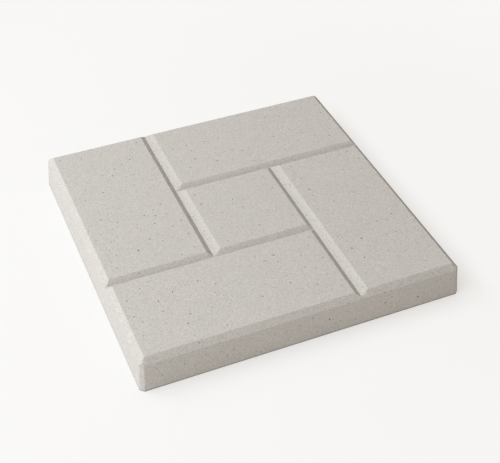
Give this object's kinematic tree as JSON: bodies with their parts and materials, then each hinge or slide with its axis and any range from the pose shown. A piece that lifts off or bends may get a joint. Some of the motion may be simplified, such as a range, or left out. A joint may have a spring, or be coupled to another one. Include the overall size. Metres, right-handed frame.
{
  "type": "concrete paving slab",
  "caption": "Square cast concrete paving slab whose face is moulded as a pinwheel of oblong blocks round a square one, with V grooves and a bevelled edge.",
  "frame": {"origin": "middle of the flat bed face, at the level that the slab lies on", "axes": "+Z out of the patterned face, +X along the front edge, +Y towards the back edge"},
  "size_m": [0.3, 0.3, 0.033],
  "materials": {
    "concrete": "fair cast grey cement face with a fine sandy grain and scattered pinholes, matt"
  },
  "bodies": {
    "root": {"paving_slab": "concrete"}
  },
  "joints": []
}
